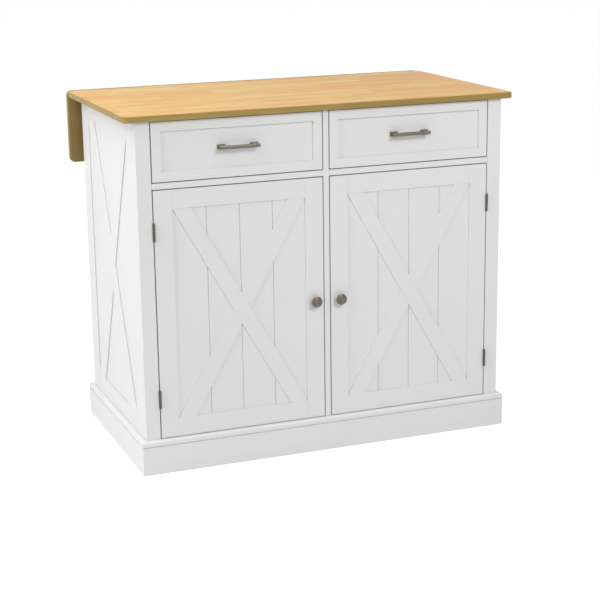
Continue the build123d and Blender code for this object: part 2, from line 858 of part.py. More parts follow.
def leaf_plate_screw_places():
    near, far = leaf_plate_span()
    inset = leaf_plate_screw_inset
    return [(x + side * (leaf_plate_width / 2 - inset), y)
            for x in leaf_hinge_places for side in (-1, 1) for y in (near + inset, far - inset)]


def leaf_plate_span():
    """Front and rear of the plates under the worktop's overhang."""
    return carcass_rear_y + leaf_plate_front_gap, worktop_rear_y - leaf_plate_margin


def make_drop_leaf():
    """The hanging leaf, rounded over along its top so that it turns past the worktop's edge."""
    half = overall_width / 2
    board = block(-half, half, leaf_inner_y, leaf_outer_y, leaf_bottom_z(), overall_height)
    board = fillet(board.edges().filter_by(Axis.Y), worktop_corner_radius)
    faces = board.faces().sort_by(Axis.Y)
    board = fillet(faces[0].edges() + faces[-1].edges(), worktop_edge_radius)
    nose = block(-half, half, leaf_inner_y, leaf_outer_y, leaf_axis_z, overall_height)
    nose -= rod(-half, leaf_axis_y, leaf_axis_z, worktop_thickness / 2, 2 * half, "x")
    board -= nose
    wide = slot_half_width()
    depth = leaf_inner_y - 1
    for x in leaf_hinge_places:
        board -= rod(x - wide, leaf_axis_y, leaf_axis_z, leaf_eye_radius + leaf_eye_clearance, 2 * wide, "x")
        board -= block(x - wide, x + wide, depth, leaf_axis_y, leaf_axis_z, overall_height + 1)
        board -= block(x - wide, x + wide, depth, leaf_axis_y + leaf_slot_reach,
                       leaf_axis_z - leaf_slot_depth, leaf_axis_z)
        for shift, z in arm_screw_places():
            board -= rod(x + shift, leaf_inner_y, z, leaf_screw_radius,
                         leaf_screw_length - leaf_plate_thickness, "y")
    return board


def place_yz(points):
    """Points given round the leaf's axis, moved to their place."""
    return [(leaf_axis_y + y, leaf_axis_z + z) for y, z in points]


def make_leaf_brackets():
    """Plates screwed under the worktop, each with a web that hooks up to the leaf's pin."""
    under = -worktop_thickness / 2
    rear = worktop_rear_y - leaf_axis_y
    near, far = leaf_plate_span()
    front = near - leaf_axis_y
    eye = leaf_eye_radius
    clear = leaf_web_clearance
    tail = rear - leaf_web_tail
    deep = under - leaf_web_depth
    hook = [(-eye, 0), (rear + clear, under - clear), (front, under - clear),
            (front, under - leaf_web_step), (front + leaf_web_setback, deep), (tail, deep),
            (tail, under - leaf_web_throat), (rear - clear / 2, under - leaf_web_step),
            (eye / 2, -eye * 0.86), (eye / 2, 0)]
    pieces = []
    for x in leaf_hinge_places:
        half = leaf_web_thickness / 2
        web = prism_yz(place_yz(hook), x - half, x + half)
        web += rod(x - half, leaf_axis_y, leaf_axis_z, leaf_eye_radius, leaf_web_thickness, "x")
        web -= rod(x - half - 1, leaf_axis_y, leaf_axis_z, leaf_pin_radius + leaf_pin_play,
                   leaf_web_thickness + 2, "x")
        plate = block(x - leaf_plate_width / 2, x + leaf_plate_width / 2, near, far,
                      top_z - leaf_plate_thickness, top_z)
        bracket = web + plate
        for screw_x, screw_y in leaf_plate_screw_places():
            bracket -= rod(screw_x, screw_y, top_z, leaf_screw_radius, -2 * leaf_plate_thickness)
        pieces.append(bracket)
    return group(pieces)


def make_leaf_arms():
    """Arms screwed to the leaf, each with two cheeks that hold the pin."""
    inner = leaf_inner_y - leaf_axis_y
    plate = leaf_plate_thickness
    eye = leaf_eye_radius
    foot_z = -leaf_arm_drop - leaf_arm_length
    rib = inner - leaf_arm_rib
    cheek = [(-eye * 0.93, eye / 4), (inner + leaf_web_clearance / 4, -eye),
             (inner - plate, -leaf_arm_drop + plate), (rib, -leaf_arm_rib_start), (rib, -leaf_arm_rib_taper),
             (inner - plate, foot_z), (inner, foot_z), (inner, -leaf_slot_depth),
             (-leaf_slot_reach / 2, 1 - leaf_slot_depth + plate / 2), (leaf_slot_reach / 2, -eye * 1.3),
             (leaf_slot_reach, -eye * 0.93)]
    pieces = []
    for x in leaf_hinge_places:
        arm = block(x - leaf_arm_width / 2, x + leaf_arm_width / 2, leaf_inner_y - plate, leaf_inner_y,
                    leaf_axis_z + foot_z, leaf_axis_z - leaf_arm_drop)
        near = leaf_web_thickness / 2 + leaf_cheek_gap
        for x0 in (x + near, x - near - leaf_cheek_thickness):
            arm += prism_yz(place_yz(cheek), x0, x0 + leaf_cheek_thickness)
            arm += rod(x0, leaf_axis_y, leaf_axis_z, eye, leaf_cheek_thickness, "x")
        reach = near + leaf_cheek_thickness
        arm -= rod(x - reach, leaf_axis_y, leaf_axis_z, leaf_pin_radius, 2 * reach, "x")
        for shift, z in arm_screw_places():
            arm -= rod(x + shift, leaf_inner_y, z, leaf_screw_radius, -2 * plate, "y")
        pieces.append(arm)
    return group(pieces)


def make_leaf_pins():
    reach = leaf_web_thickness / 2 + leaf_cheek_gap + leaf_cheek_thickness
    return group([rod(x - reach, leaf_axis_y, leaf_axis_z, leaf_pin_radius, 2 * reach, "x")
                  for x in leaf_hinge_places])


def make_leaf_screws():
    screws = []
    for x in leaf_hinge_places:
        for shift, z in arm_screw_places():
            face = leaf_inner_y - leaf_plate_thickness
            screw = rod(x + shift, face, z, leaf_screw_radius, leaf_screw_length, "y")
            screw += rod(x + shift, face, z, leaf_screw_head_radius, -leaf_screw_head_height, "y")
            screws.append(screw)
    return group(screws)


def make_carcass_screws():
    """Screws of the hinge plates, of the worktop and of the leaf brackets."""
    side = [screw_in_leaf(z, False) for z in hinge_screw_heights()]
    screws = side + [flip(screw) for screw in side]
    for x, y in worktop_screw_places():
        low = top_z - board_thickness
        screw = rod(x, y, low, leaf_screw_radius, board_thickness + worktop_screw_depth)
        screw += rod(x, y, low, leaf_screw_head_radius, -leaf_screw_head_height)
        screws.append(screw)
    for x, y in leaf_plate_screw_places():
        low = top_z - leaf_plate_thickness
        screw = rod(x, y, low, leaf_screw_radius, leaf_plate_thickness + worktop_screw_depth)
        screw += rod(x, y, low, leaf_screw_head_radius, -leaf_screw_head_height)
        screws.append(screw)
    return group(screws)


def carcass_parts():
    panel = make_side_panel()
    trim = make_side_trim()
    shelf = make_shelf()
    return {
        "worktop": make_worktop(),
        "front_stiles": both_sides(make_front_stile()),
        "side_panel_right": panel,
        "side_panel_left": flip(panel),
        "side_trim_right": trim,
        "side_trim_left": flip(trim),
        "centre_partition": make_centre_partition(),
        "mid_rails": make_mid_rails(),
        "top_stretchers": make_top_stretchers(),
        "bottom_panel": make_bottom_panel(),
        "back_panel": make_back_panel(),
        "runner_packers": make_runner_packers(),
        "shelf_right": shelf,
        "shelf_left": flip(shelf),
        "shelf_pins": make_shelf_pins(),
        "plinth_front": make_plinth_end(front_y - plinth_thickness, 1),
        "plinth_rear": make_plinth_end(carcass_rear_y + plinth_thickness, -1),
        "plinth_sides": both_sides(make_plinth_side()),
        "hinge_plates": make_hinge_plates(),
        "hinge_pins": make_hinge_pins(),
        "door_catches": make_door_catches(),
        "fixed_runners": both_sides(make_fixed_runners()),
        "leaf_brackets": make_leaf_brackets(),
        "carcass_screws": make_carcass_screws(),
    }


def door_parts(side, name):
    return {
        name + "_stiles": make_door_stiles(side),
        name + "_rails": make_door_rails(side),
        name + "_panel": make_door_panel(side),
        name + "_cross": make_door_cross(side),
        name + "_knob": make_knob(side),
        name + "_hinge_leaves": make_door_leaves(side),
        name + "_fixings": make_door_fixings(side),
    }


def drawer_parts(side, name):
    shapes = {
        "_front_panel": make_drawer_front_panel(),
        "_front_frame": make_drawer_front_frame(),
        "_sides": make_drawer_sides(),
        "_back": make_drawer_back(),
        "_bottom": make_drawer_bottom(),
        "_pull": make_pull(),
        "_pull_screws": make_pull_screws(),
        "_middle_runners": make_middle_runners(),
        "_runners": make_drawer_runners(),
    }
    return {name + key: shape if side > 0 else flip(shape) for key, shape in shapes.items()}


def leaf_parts():
    return {
        "drop_leaf": make_drop_leaf(),
        "leaf_arms": make_leaf_arms(),
        "leaf_pins": make_leaf_pins(),
        "leaf_screws": make_leaf_screws(),
    }


def build():
    os.makedirs("parts", exist_ok=True)
    parts = {}
    parts.update(carcass_parts())
    parts.update(door_parts(-1, "door_left"))
    parts.update(door_parts(1, "door_right"))
    parts.update(drawer_parts(-1, "drawer_left"))
    parts.update(drawer_parts(1, "drawer_right"))
    parts.update(leaf_parts())
    for name, shape in parts.items():
        export_step(shape, "parts/" + name + ".step")
    print(len(parts), "parts written")


build()
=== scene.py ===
import json
import math
import bmesh
import bpy
from mathutils import Matrix, Vector

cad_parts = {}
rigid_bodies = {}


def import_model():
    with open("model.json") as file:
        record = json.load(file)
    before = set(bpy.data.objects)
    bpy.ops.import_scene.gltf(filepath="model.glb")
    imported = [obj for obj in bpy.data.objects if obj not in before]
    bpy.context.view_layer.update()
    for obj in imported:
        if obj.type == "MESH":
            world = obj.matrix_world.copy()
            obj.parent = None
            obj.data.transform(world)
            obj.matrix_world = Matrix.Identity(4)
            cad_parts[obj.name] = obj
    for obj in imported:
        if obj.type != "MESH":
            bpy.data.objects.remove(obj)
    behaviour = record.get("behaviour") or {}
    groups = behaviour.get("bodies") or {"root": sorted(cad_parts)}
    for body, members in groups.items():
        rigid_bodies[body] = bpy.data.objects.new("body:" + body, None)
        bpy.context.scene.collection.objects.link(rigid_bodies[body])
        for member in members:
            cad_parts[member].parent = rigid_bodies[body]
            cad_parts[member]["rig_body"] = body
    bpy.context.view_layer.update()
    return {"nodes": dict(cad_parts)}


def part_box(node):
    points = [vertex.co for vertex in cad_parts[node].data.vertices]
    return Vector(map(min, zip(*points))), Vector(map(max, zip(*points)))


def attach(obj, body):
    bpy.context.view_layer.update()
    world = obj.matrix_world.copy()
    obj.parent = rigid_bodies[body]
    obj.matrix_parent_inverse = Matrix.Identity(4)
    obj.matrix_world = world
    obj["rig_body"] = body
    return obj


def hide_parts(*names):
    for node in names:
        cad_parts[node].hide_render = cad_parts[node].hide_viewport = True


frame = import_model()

# A white kitchen storage cabinet: two boarded doors with crosses, two drawers, a wooden worktop
# and a drop leaf at the rear. In metres: X across the front, Y from front to rear, Z up.

nodes = frame["nodes"]
print("loaded", len(nodes), "cabinet parts")


# Helpers for the shader trees

def placeNode(tree, kind, spot, inputs=None, **settings):
    node = tree.nodes.new(kind)
    node.location = spot
    for name, value in settings.items():
        setattr(node, name, value)
    for name, value in (inputs or {}).items():
        if isinstance(value, bpy.types.NodeSocket):
            tree.links.new(value, node.inputs[name])
        else:
            node.inputs[name].default_value = value
    return node


def maths(tree, operation, first, second, spot, clamp=False):  # second is None where one value is enough
    values = {0: first} if second is None else {0: first, 1: second}
    return placeNode(tree, "ShaderNodeMath", spot, values, operation=operation, use_clamp=clamp).outputs[0]


def vectorMaths(tree, operation, first, second, spot):
    values = {0: first} if second is None else {0: first, 1: second}
    return placeNode(tree, "ShaderNodeVectorMath", spot, values, operation=operation).outputs[0]


def blendColours(tree, amount, first, second, spot):
    return placeNode(tree, "ShaderNodeMix", spot, {0: amount, 6: first, 7: second},
                     data_type="RGBA").outputs[2]


def blendValues(tree, amount, first, second, spot):
    return placeNode(tree, "ShaderNodeMix", spot, {0: amount, 2: first, 3: second},
                     data_type="FLOAT").outputs[0]


def spread(tree, value, low, high, newLow, newHigh, spot):
    return placeNode(tree, "ShaderNodeMapRange", spot,
                     {0: value, 1: low, 2: high, 3: newLow, 4: newHigh}, clamp=True).outputs[0]


def noiseOn(tree, vector, scale, detail, roughness, spot, distortion=0.0):
    return placeNode(tree, "ShaderNodeTexNoise", spot,
                     {"Vector": vector, "Scale": scale, "Detail": detail, "Roughness": roughness,
                      "Distortion": distortion}).outputs[0]


number, direction = "NodeSocketFloat", "NodeSocketVector"


def newGroup(name, inputs, outputs):
    group = bpy.data.node_groups.new(name, "ShaderNodeTree")
    for title, kind, value in inputs:
        socket = group.interface.new_socket(name=title, in_out="INPUT", socket_type=kind)
        if value is not None:
            socket.default_value = value
    for title in outputs:
        group.interface.new_socket(name=title, in_out="OUTPUT", socket_type=number)
    start = placeNode(group, "NodeGroupInput", (-1500, 0))
    end = placeNode(group, "NodeGroupOutput", (1200, 0))
    return group, start.outputs, end.inputs


def useGroup(tree, group, spot, inputs):
    return placeNode(tree, "ShaderNodeGroup", spot, inputs, node_tree=group).outputs


noiseRange = (0.3, 0.7)  # nearly all of a noise's values lie in it


# Shared effects, each built once and placed in the finishes with its own values

edgeMask = {  # flat and full are limits on how well the rounded and the plain normal agree
    "flatAbove": 0.998, "fullBelow": 0.84, "patchScale": 85.0, "patchRange": (0.36, 0.62),
}


# Used both for rubbed wear and for a painted highlight along the rims
def buildEdgeWearAndHighlight():  # 1 along outer edges, broken up in patches
    group, given, made = newGroup(
        "edgeWearAndHighlight",
        [("Vector", direction, None), ("Width", number, 0.001), ("Patchiness", number, 0.5)],
        ["Edge"])
    rounded = placeNode(group, "ShaderNodeBevel", (-1200, 200), {"Radius": given["Width"]}, samples=4)
    plain = placeNode(group, "ShaderNodeNewGeometry", (-1200, 0))
    match = placeNode(group, "ShaderNodeVectorMath", (-950, 120),
                      {0: rounded.outputs[0], 1: plain.outputs["Normal"]}, operation="DOT_PRODUCT")
    turn = spread(group, match.outputs["Value"], edgeMask["flatAbove"], edgeMask["fullBelow"], 0.0, 1.0,
                  (-700, 120))
    patches = noiseOn(group, given["Vector"], edgeMask["patchScale"], 3.0, 0.6, (-950, -200))
    broken = spread(group, patches, *edgeMask["patchRange"], 0.0, 1.0, (-700, -200))
    kept = blendValues(group, given["Patchiness"], 1.0, broken, (-450, -200))
    group.links.new(maths(group, "MULTIPLY", turn, kept, (-200, 0), clamp=True), made["Edge"])
    return group


creaseShadeMask = {"fullBelow": 0.30, "openAbove": 0.85}  # share of open sky seen from a point


# creaseShade is painted shade: its mask is 1 in the corners where two pieces meet
def buildCreaseShade():  # 1 in the corners where two pieces meet
    group, given, made = newGroup("creaseShade", [("Reach", number, 0.005)], ["Crease"])
    corner = placeNode(group, "ShaderNodeAmbientOcclusion", (-1200, 0), {"Distance": given["Reach"]},
                       samples=8)
    shade = spread(group, corner.outputs["AO"], creaseShadeMask["fullBelow"], creaseShadeMask["openAbove"], 1.0, 0.0,
                   (-900, 0))
    group.links.new(shade, made["Crease"])
    return group


sprayMarks = {
    "stretch": (230.0, 230.0, 11.0), "cloudShare": 0.65, "markShare": 0.35, "markHeight": 0.6,
    "speckScale": 150.0, "speckShare": 0.5,
}


def buildSprayedFilm():  # the fine peel, clouding and faint long marks of a sprayed coat
    group, given, made = newGroup(
        "sprayedFilm",
        [("Vector", direction, None), ("Peel", number, 420.0), ("Cloud", number, 6.0)],
        ["Tone", "Gloss", "Height"])
    vector = given["Vector"]
    peel = noiseOn(group, vector, given["Peel"], 2.0, 0.5, (-1100, 400))
    cloud = noiseOn(group, vector, given["Cloud"], 3.0, 0.55, (-1100, 150))
    lengthwise = vectorMaths(group, "MULTIPLY", vector, sprayMarks["stretch"], (-1300, -100))
    marks = noiseOn(group, lengthwise, 1.0, 3.0, 0.6, (-1100, -100))
    specks = noiseOn(group, vector, sprayMarks["speckScale"], 2.0, 0.5, (-1100, -350))
    softCloud = maths(group, "MULTIPLY", cloud, sprayMarks["cloudShare"], (-800, 150))
    softMarks = maths(group, "MULTIPLY", marks, sprayMarks["markShare"], (-800, -50))
    tone = maths(group, "ADD", softCloud, softMarks, (-550, 100))
    gloss = blendValues(group, sprayMarks["speckShare"], cloud, specks, (-550, -250))
    raised = maths(group, "MULTIPLY", marks, sprayMarks["markHeight"], (-800, 350))
    height = maths(group, "ADD", peel, raised, (-550, 400))
    for name, value in (("Tone", tone), ("Gloss", gloss), ("Height", height)):
        group.links.new(value, made[name])
    return group


staveMarks = {  # noise scales along and across the grain; apart keeps one board's pattern from the next's
    "streak": (2.2, 42.0, 42.0), "patch": (6.5, 30.0, 30.0),
    "ring": (0.9, 9.0, 9.0), "fibre": (14.0, 620.0, 620.0),
    "ringTurns": 46.0, "seamWidth": 0.0007, "endSeamShare": 0.7, "apart": (9.0, 5.0, 3.0),
}


def buildStaveGrain():  # boards glued edge to edge, with the grain along X and the boards side by side in Y
    group, given, made = newGroup(
        "staveGrain",
        [("Vector", direction, None), ("StaveWidth", number, 0.09), ("StaveLength", number, 0.6),
         ("Shift", number, 0.0)],
        ["Tone", "Streak", "Patch", "Ring", "Fibre", "Seam"])
    split = placeNode(group, "ShaderNodeSeparateXYZ", (-1300, 0), {0: given["Vector"]}).outputs
    across = maths(group, "DIVIDE", maths(group, "ADD", split[1], given["Shift"], (-1150, -150)),
                   given["StaveWidth"], (-1000, -150))
    row = maths(group, "FLOOR", across, None, (-850, -150))
    rowChance = placeNode(group, "ShaderNodeTexWhiteNoise", (-700, -150), {"W": row},
                          noise_dimensions="1D").outputs["Value"]
    along = maths(group, "ADD", maths(group, "DIVIDE", split[0], given["StaveLength"], (-1000, 100)),
                  rowChance, (-550, 0))
    column = maths(group, "FLOOR", along, None, (-400, 0))
    cell = placeNode(group, "ShaderNodeCombineXYZ", (-250, -100), {0: column, 1: row}).outputs[0]
    chance = placeNode(group, "ShaderNodeTexWhiteNoise", (-100, -100), {"Vector": cell},
                       noise_dimensions="3D").outputs
    away = vectorMaths(group, "MULTIPLY", chance["Color"], staveMarks["apart"], (50, -250))

    def grainNoise(mark, detail, roughness, y, distortion):
        pulled = vectorMaths(group, "MULTIPLY", given["Vector"], staveMarks[mark], (50, y))
        moved = vectorMaths(group, "ADD", pulled, away, (200, y))
        return noiseOn(group, moved, 1.0, detail, roughness, (350, y), distortion)

    streak = grainNoise("streak", 4.0, 0.6, 300, 0.15)
    patch = grainNoise("patch", 4.0, 0.62, 500, 0.3)
    rings = grainNoise("ring", 2.0, 0.45, 100, 0.25)
    fibre = grainNoise("fibre", 3.0, 0.6, -300, 0.0)
    turns = maths(group, "MULTIPLY", rings, staveMarks["ringTurns"], (550, 100))
    ring = spread(group, maths(group, "SINE", turns, None, (700, 100)), -1.0, 1.0, 0.0, 1.0, (850, 100))

    def seamMask(value, size, y):
        part = maths(group, "FRACT", value, None, (-250, y))
        other = maths(group, "SUBTRACT", 1.0, part, (-100, y))
        gap = maths(group, "MULTIPLY", maths(group, "MINIMUM", part, other, (50, y)), size, (200, y))
        return spread(group, gap, 0.0, staveMarks["seamWidth"], 1.0, 0.0, (350, y))

    sideSeam = seamMask(across, given["StaveWidth"], -550)
    endSeam = seamMask(along, given["StaveLength"], -750)
    fainter = maths(group, "MULTIPLY", endSeam, staveMarks["endSeamShare"], (500, -750))
    seam = maths(group, "MAXIMUM", sideSeam, fainter, (700, -600))
    for name, value in (("Tone", chance["Value"]), ("Streak", streak), ("Patch", patch), ("Ring", ring),
                        ("Fibre", fibre), ("Seam", seam)):
        group.links.new(value, made[name])
    return group


brushStretch = (0.035, 1.0, 1.0)  # a small share in X draws the scratches out along it


def buildBrushedMarks():  # fine scratches along X, with smudges over them
    group, given, made = newGroup(
        "brushedMarks",
        [("Vector", direction, None), ("Fine", number, 900.0), ("Smudge", number, 55.0)],
        ["Marks", "Smudges"])
    long = vectorMaths(group, "MULTIPLY", given["Vector"], brushStretch, (-1200, 150))
    marks = noiseOn(group, long, given["Fine"], 3.0, 0.65, (-950, 150))
    smudges = noiseOn(group, given["Vector"], given["Smudge"], 4.0, 0.55, (-950, -150))
    group.links.new(marks, made["Marks"])
    group.links.new(smudges, made["Smudges"])
    return group


edgeWearAndHighlight = buildEdgeWearAndHighlight()
creaseShade = buildCreaseShade()
sprayedFilm = buildSprayedFilm()
staveGrain = buildStaveGrain()
brushedMarks = buildBrushedMarks()
print("shared effects ready")


# Finishes

def newFinish(name):
    finish = bpy.data.materials.new(name)
    finish.use_nodes = True
    tree = finish.node_tree
    tree.nodes.clear()
    shader = placeNode(tree, "ShaderNodeBsdfPrincipled", (900, 0))
    output = placeNode(tree, "ShaderNodeOutputMaterial", (1200, 0))
    tree.links.new(shader.outputs[0], output.inputs[0])
    coords = placeNode(tree, "ShaderNodeTexCoord", (-1500, 0)).outputs["Object"]
    return finish, tree, shader, coords


def edgeWearAndHighlightMask(tree, coords, look):
    return useGroup(tree, edgeWearAndHighlight, (-1100, -250),
                    {"Vector": coords, "Width": look["edgeWidth"],
                     "Patchiness": look["edgePatches"]})["Edge"]


def bumpInto(tree, shader, height, look):
    bump = placeNode(tree, "ShaderNodeBump", (650, -350),
                     {"Height": height, "Strength": look["bump"], "Distance": look["bumpDepth"]})
    tree.links.new(bump.outputs[0], shader.inputs["Normal"])


def paintedFinish(name, look):
    finish, tree, shader, coords = newFinish(name)
    film = useGroup(tree, sprayedFilm, (-1100, 150),
                    {"Vector": coords, "Peel": look["peel"], "Cloud": look["cloud"]})
    edge = edgeWearAndHighlightMask(tree, coords, look)
    toned = blendColours(tree, spread(tree, film["Tone"], *noiseRange, 0.0, 1.0, (-800, 250)),
                         look["colour"], look["shade"], (-500, 250))
    # Rims blend towards the edge colour: a painted highlight where it is lighter, worn board edges on the
    # darker inner boards
    lit = blendColours(tree, maths(tree, "MULTIPLY", edge, look["edgeWearAndHighlightShow"], (-800, -100)),
                       toned, look["edgeWearAndHighlightColour"], (-200, 200))
    # Painted shade: the colour darkens towards the crease shade colour in the corners where pieces meet
    paintedCreaseShade = useGroup(tree, creaseShade, (-1100, -500), {"Reach": look["creaseShadeReach"]})["Crease"]
    creaseShaded = blendColours(tree, maths(tree, "MULTIPLY", paintedCreaseShade, look["creaseShadeShow"], (-200, -350)),
                         lit, look["creaseShadeColour"], (100, 200))
    tree.links.new(creaseShaded, shader.inputs["Base Color"])
    rough = spread(tree, film["Gloss"], *noiseRange, *look["roughness"], (-500, -50))
    polish = maths(tree, "MULTIPLY", edge, look["edgePolish"], (-500, -250))
    tree.links.new(maths(tree, "SUBTRACT", rough, polish, (-200, -100)), shader.inputs["Roughness"])
    bumpInto(tree, shader, film["Height"], look)
    return finish


whitePaintLook = {
    "colour": (0.815, 0.815, 0.815, 1), "shade": (0.79, 0.792, 0.795, 1), "peel": 430.0, "cloud": 6.0,
    # The lighter edge colour is a painted highlight along the rims
    "edgeWearAndHighlightColour": (0.85, 0.85, 0.85, 1), "edgeWidth": 0.0012, "edgeWearAndHighlightShow": 0.5, "edgePatches": 0.6,
    "edgePolish": 0.08, "roughness": (0.35, 0.49), "bump": 0.16, "bumpDepth": 0.0002,
    # The crease shade values paint shade into the corners: its colour, reach and share
    "creaseShadeColour": (0.42, 0.42, 0.42, 1), "creaseShadeReach": 0.004, "creaseShadeShow": 0.25,
}
# Boarded panels get a fainter, narrower painted shade in their grooves and corners
boardedPanelLook = dict(whitePaintLook, creaseShadeReach=0.0025, creaseShadeShow=0.22)
# Inner boards: a stronger painted shade in the corners, and darker worn edges
innerBoardLook = dict(
    whitePaintLook, colour=(0.80, 0.80, 0.79, 1), shade=(0.765, 0.765, 0.755, 1), peel=700.0, cloud=9.0,
    edgeWearAndHighlightColour=(0.72, 0.71, 0.69, 1), edgeWidth=0.0008, edgeWearAndHighlightShow=0.6, roughness=(0.43, 0.57), bump=0.2,
    creaseShadeColour=(0.5, 0.5, 0.49, 1), creaseShadeShow=0.5)
catchPlasticLook = dict(
    whitePaintLook, colour=(0.80, 0.80, 0.78, 1), shade=(0.74, 0.74, 0.72, 1), peel=1500.0, cloud=30.0,
    edgeWearAndHighlightColour=(0.86, 0.86, 0.85, 1), edgeWidth=0.0004, roughness=(0.29, 0.43), bump=0.3,
    creaseShadeColour=(0.5, 0.5, 0.49, 1), creaseShadeReach=0.002, creaseShadeShow=0.5)


def woodenFinish(name, look):
    finish, tree, shader, coords = newFinish(name)
    turned = placeNode(tree, "ShaderNodeMapping", (-1350, 0),
                       {"Vector": coords, "Rotation": look["turn"], "Location": look["offset"]}).outputs[0]
    grain = useGroup(tree, staveGrain, (-1100, 100),
                     {"Vector": turned, "StaveWidth": look["staveWidth"], "StaveLength": look["staveLength"],
                      "Shift": look["shift"]})
    edge = edgeWearAndHighlightMask(tree, coords, look)
    streaks = spread(tree, grain["Streak"], *look["streakRange"], 0.0, 1.0, (-800, 350))
    streaked = blendColours(tree, streaks, look["light"], look["dark"], (-550, 350))
    staveTone = spread(tree, grain["Tone"], 0.0, 1.0, 0.0, look["staveShow"], (-800, 100))
    stave = blendColours(tree, staveTone, streaked, look["warm"], (-300, 300))
    patchShow = spread(tree, grain["Patch"], *look["patchRange"], 0.0, look["patchShow"], (-550, 500))
    patched = blendColours(tree, patchShow, stave, look["patchColour"], (-175, 400))
    ringShow = maths(tree, "MULTIPLY", grain["Ring"], look["ringShow"], (-550, 50))
    ringed = blendColours(tree, ringShow, patched, look["ringColour"], (-50, 250))
    fibreShow = spread(tree, grain["Fibre"], *look["fibreRange"], 0.0, look["fibreShow"], (-550, -100))
    fibred = blendColours(tree, fibreShow, ringed, look["fibreColour"], (150, 200))
    seamShow = maths(tree, "MULTIPLY", grain["Seam"], look["seamShow"], (-300, -50))
    seamed = blendColours(tree, seamShow, fibred, look["fibreColour"], (350, 150))
    # Rims blend towards the edge colour: a painted highlight on the rim and leaf pieces, where it is lighter
    wornAndHighlit = blendColours(tree, maths(tree, "MULTIPLY", edge, look["edgeWearAndHighlightShow"], (150, -150)),
                        seamed, look["edgeWearAndHighlightColour"], (550, 100))
    tree.links.new(wornAndHighlit, shader.inputs["Base Color"])
    rough = spread(tree, grain["Streak"], *noiseRange, *look["roughness"], (-50, -200))
    tree.links.new(rough, shader.inputs["Roughness"])
    ridges = maths(tree, "MULTIPLY", grain["Ring"], look["ringRelief"], (150, -300))
    pores = maths(tree, "MULTIPLY", grain["Fibre"], look["fibreRelief"], (150, -450))
    bumpInto(tree, shader, maths(tree, "SUBTRACT", ridges, pores, (350, -350)), look)
    shader.inputs["Specular IOR Level"].default_value = look["specular"]
    return finish


topBoardsLook = {
    "turn": (0, 0, 0), "offset": (0.13, 0, 0), "staveWidth": 0.064, "staveLength": 0.36, "shift": 0.02,
    "light": (0.80, 0.63, 0.215, 1), "dark": (0.80, 0.47, 0.125, 1), "streakRange": (0.37, 0.63),
    "warm": (0.76, 0.39, 0.085, 1), "staveShow": 0.95,
    "patchColour": (0.76, 0.36, 0.085, 1), "patchShow": 0.85, "patchRange": (0.45, 0.60),
    "ringColour": (0.64, 0.35, 0.095, 1), "ringShow": 0.2, "ringRelief": 0.25,
    "fibreColour": (0.50, 0.27, 0.085, 1), "fibreShow": 0.2, "fibreRange": (0.45, 0.75), "fibreRelief": 0.8,
    "edgeWearAndHighlightColour": (0.72, 0.49, 0.21, 1), "edgeWidth": 0.0016, "edgeWearAndHighlightShow": 0.3, "edgePatches": 0.4,
    "seamShow": 0.3, "roughness": (0.37, 0.48), "specular": 0.22, "bump": 0.2, "bumpDepth": 0.00015,
}
# A darker copy of the boards for every face but the top: partly darker edge grain, partly painted shade on
# the edges and underside
rimGrainAndShadeLook = dict(
    topBoardsLook, light=(0.45, 0.33, 0.115, 1), dark=(0.375, 0.272, 0.09, 1), warm=(0.36, 0.24, 0.075, 1),
    patchColour=(0.38, 0.24, 0.075, 1), patchShow=0.5, ringColour=(0.31, 0.22, 0.07, 1), ringShow=0.3,
    fibreColour=(0.24, 0.16, 0.05, 1), fibreShow=0.3, edgeWearAndHighlightColour=(0.62, 0.43, 0.17, 1), edgeWearAndHighlightShow=0.35,
    seamShow=0.12)
leafLay = {"turn": (math.radians(90), 0, 0), "offset": (0.31, 0, 0), "shift": 0.0}
leafBoardsLook = dict(topBoardsLook, **leafLay)
# Darker still for the leaf's faces other than its outer one: painted shade of the gap beside the cabinet;
# the lighter edge colour is a painted highlight on the rim
leafRimGrainAndShadeLook = dict(rimGrainAndShadeLook, **leafLay, light=(0.31, 0.225, 0.082, 1), dark=(0.26, 0.184, 0.066, 1),
                    edgeWearAndHighlightColour=(0.38, 0.27, 0.11, 1))


def roundMiddle(tree, coords, middle):  # distance from the Y axis through a point, the same on both sides
    mirrored = vectorMaths(tree, "ABSOLUTE", coords, None, (-1900, 0))
    away = vectorMaths(tree, "SUBTRACT", mirrored, middle, (-1750, 0))
    flat = vectorMaths(tree, "MULTIPLY", away, (1, 0, 1), (-1600, 0))
    radius = placeNode(tree, "ShaderNodeVectorMath", (-1450, 0), {0: flat},
                       operation="LENGTH").outputs["Value"]
    return placeNode(tree, "ShaderNodeCombineXYZ", (-1300, 0), {1: radius}).outputs[0]


